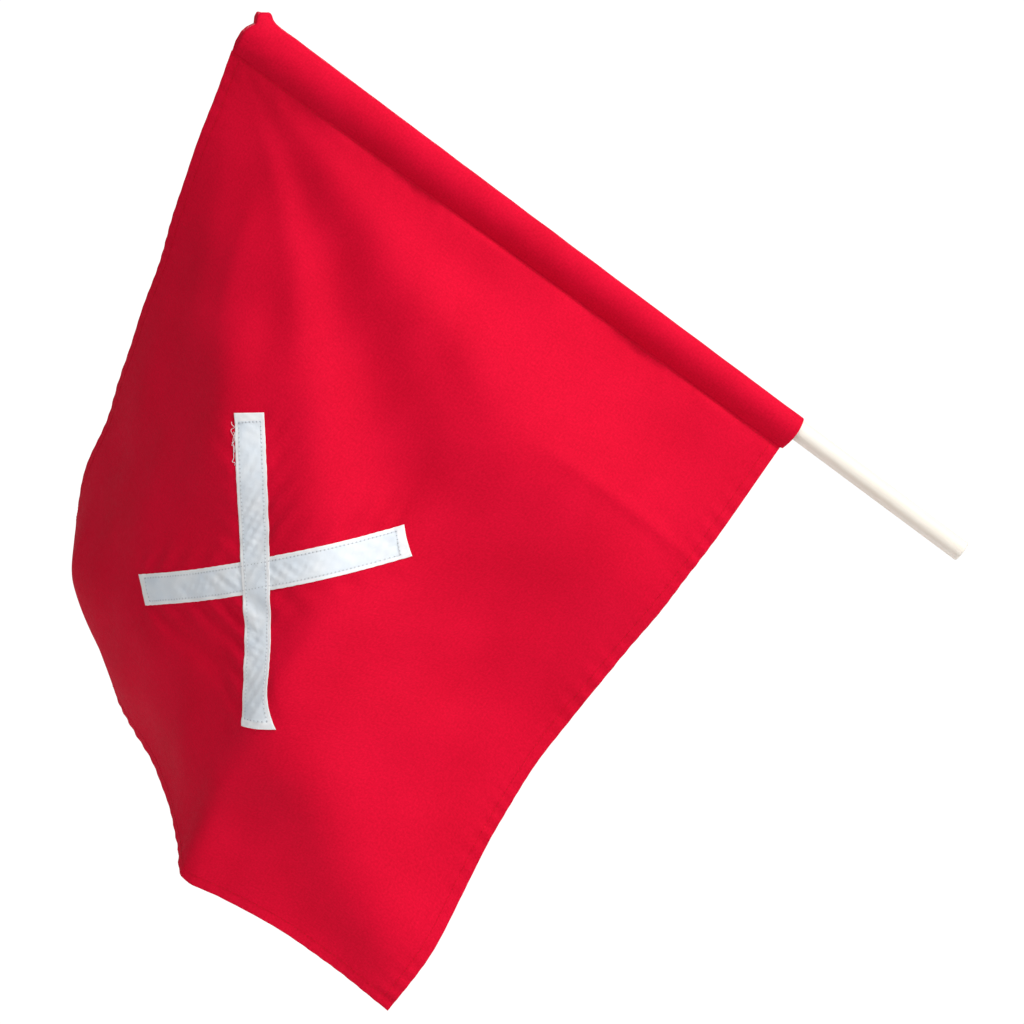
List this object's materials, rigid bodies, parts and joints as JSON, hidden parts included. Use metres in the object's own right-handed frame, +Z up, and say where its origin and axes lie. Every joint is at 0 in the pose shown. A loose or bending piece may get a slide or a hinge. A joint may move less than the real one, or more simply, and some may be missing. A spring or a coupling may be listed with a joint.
{
  "type": "hand signal flag",
  "caption": "Square red cloth flag with a reflective diagonal cross, on a sleeve closed at the tip that slips over a round wooden pole with a bare handle.",
  "frame": {"origin": "on the pole's axis, in the middle of the bare handle", "axes": "+Z up as the flag is held out; +Y away from the flag's face, across the pole; +X towards the pole's butt, which slopes down 36.6 degrees"},
  "size_m": [0.6851, 0.2921, 0.7451],
  "materials": {
    "pole_wood": "smooth sanded, unvarnished",
    "flag_cloth": "smooth close-woven cloth, slight sheen",
    "reflective_tape": "silver-white retroreflective coated fabric, satin",
    "red_thread": "polyester sewing thread",
    "white_thread": "polyester sewing thread"
  },
  "bodies": {
    "pole": {"pole": "pole_wood"},
    "sleeve": {"sleeve_mouth_hem": "flag_cloth"},
    "flag": {"pole_sleeve": "flag_cloth", "sleeve_end_tuck": "flag_cloth", "end_tuck_stitching": "red_thread", "flag_panel": "flag_cloth", "sleeve_seam_allowance": "flag_cloth", "handle_side_hem": "flag_cloth", "tip_side_hem": "flag_cloth", "fly_hem": "flag_cloth", "reflective_strip_over": "reflective_tape", "reflective_strip_under": "reflective_tape", "sleeve_seam_stitching": "red_thread", "handle_hem_stitching": "red_thread", "tip_hem_stitching": "red_thread", "fly_hem_stitching": "red_thread", "strip_over_stitching": "white_thread", "strip_under_stitching": "white_thread", "loose_thread_ends": "white_thread"}
  },
  "joints": [
    {"name": "sleeve_slide", "type": "slide", "parent": "pole", "child": "sleeve", "axis": [-0.8028, 0, 0.5962], "range_m": [0, 0.48]},
    {"name": "flag_turn", "type": "hinge", "parent": "sleeve", "child": "flag", "pos_m": [-0.06182, 0, 0.04591], "axis": [0.8028, 0, -0.5962], "continuous": true}
  ]
}
